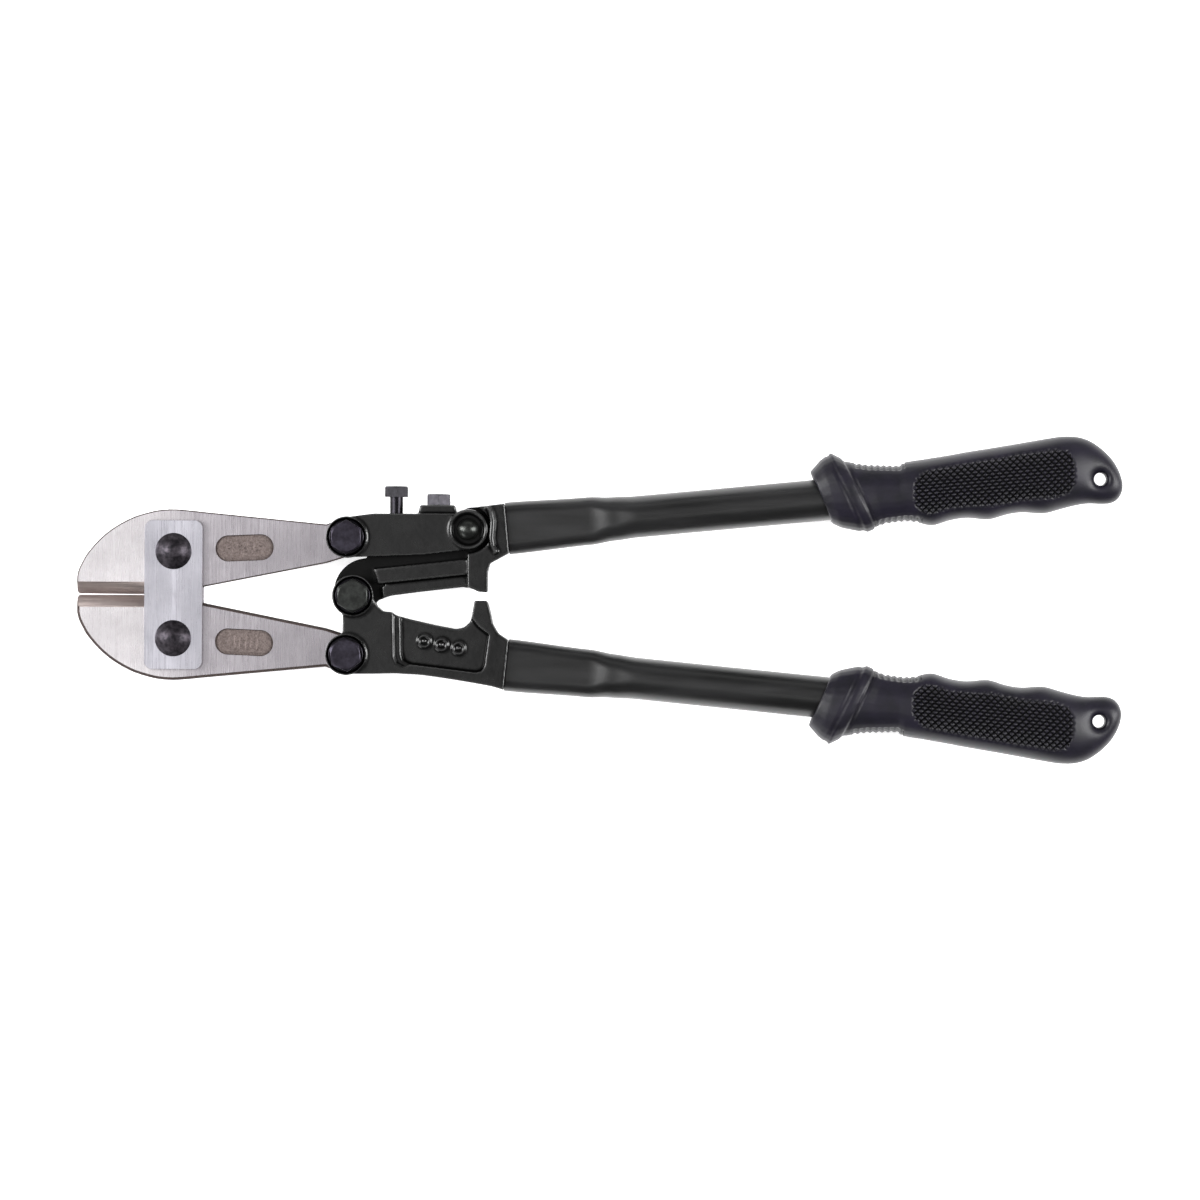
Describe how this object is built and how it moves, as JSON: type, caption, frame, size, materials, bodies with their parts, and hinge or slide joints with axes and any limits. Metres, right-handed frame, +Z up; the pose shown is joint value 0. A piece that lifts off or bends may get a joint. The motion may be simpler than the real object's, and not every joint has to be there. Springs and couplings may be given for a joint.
{
  "type": "bolt cutters",
  "caption": "Compound-action bolt cutters with forged jaws on strap plates, an adjuster link, tube handles and moulded grips.",
  "frame": {"origin": "centre of the tool's outline in plan, on the surface that it lies on", "axes": "+X from the jaws towards the grips, +Y from the lower handle to the upper handle, +Z up from the surface, out of the front strap"},
  "size_m": [0.4564, 0.144, 0.0278],
  "materials": {
    "jaw_steel": "ground and brushed forging",
    "strap_steel": "brushed plate",
    "blade_bolt_oxide": "black oxide, mottled",
    "fastener_oxide": "black oxide",
    "screw_zinc": "dull zinc plate",
    "fitting_paint": "black paint on a forging",
    "tube_paint": "satin black powder coat",
    "grip_rubber": "matt moulded rubber"
  },
  "bodies": {
    "lower_handle": {"lower_fitting": "fitting_paint", "lower_tube": "tube_paint", "lower_grip": "grip_rubber", "lower_tail_bolt": "fastener_oxide", "lower_tail_washer": "fastener_oxide", "lower_tail_nut": "fastener_oxide", "centre_bolt": "fastener_oxide", "centre_washer": "fastener_oxide", "centre_nut": "fastener_oxide"},
    "upper_handle": {"upper_fitting": "fitting_paint", "upper_tube": "tube_paint", "upper_grip": "grip_rubber", "adjuster_link": "fitting_paint", "link_pivot_screw": "fastener_oxide", "link_pivot_nut": "fastener_oxide", "upper_tail_bolt": "fastener_oxide", "upper_tail_washer": "fastener_oxide", "upper_tail_nut": "fastener_oxide"},
    "upper_jaw": {"upper_jaw": "jaw_steel"},
    "lower_jaw": {"lower_jaw": "jaw_steel"},
    "straps": {"front_strap": "strap_steel", "back_strap": "strap_steel", "upper_blade_bolt": "blade_bolt_oxide", "lower_blade_bolt": "blade_bolt_oxide", "upper_blade_nut": "fastener_oxide", "lower_blade_nut": "fastener_oxide"},
    "adjusting_screw": {"adjusting_screw": "screw_zinc"},
    "locking_screw": {"locking_screw": "screw_zinc"}
  },
  "joints": [
    {"name": "handle_pivot", "type": "hinge", "parent": "lower_handle", "child": "upper_handle", "pos_m": [-0.10775, 0, 0.0131], "axis": [0, 0, 1], "range_deg": [-1, 120]},
    {"name": "upper_jaw_pivot", "type": "hinge", "parent": "upper_handle", "child": "upper_jaw", "pos_m": [-0.11066, 0.02558, 0.0131], "axis": [0, 0, 1], "range_deg": [-71.7, 0.7]},
    {"name": "lower_jaw_pivot", "type": "hinge", "parent": "lower_handle", "child": "lower_jaw", "pos_m": [-0.11066, -0.02558, 0.0131], "axis": [0, 0, 1], "range_deg": [-0.7, 71.7]},
    {"name": "strap_pivot", "type": "hinge", "parent": "lower_jaw", "child": "straps", "pos_m": [-0.18598, -0.019, 0.0131], "axis": [0, 0, 1], "range_deg": [-11.7, 0.2]},
    {"name": "adjusting_screw_turn", "type": "hinge", "parent": "upper_handle", "child": "adjusting_screw", "pos_m": [-0.08915, 0.035, 0.0131], "axis": [0, 1, 0], "continuous": true},
    {"name": "locking_screw_turn", "type": "hinge", "parent": "upper_handle", "child": "locking_screw", "pos_m": [-0.07065, 0.035, 0.0131], "axis": [0, 1, 0], "continuous": true}
  ],
  "couplings": [
    {"joint": "upper_jaw_pivot", "follows": "handle_pivot", "ratio": -0.59691},
    {"joint": "lower_jaw_pivot", "follows": "handle_pivot", "ratio": 0.59691},
    {"joint": "strap_pivot", "follows": "handle_pivot", "ratio": -0.09691}
  ]
}
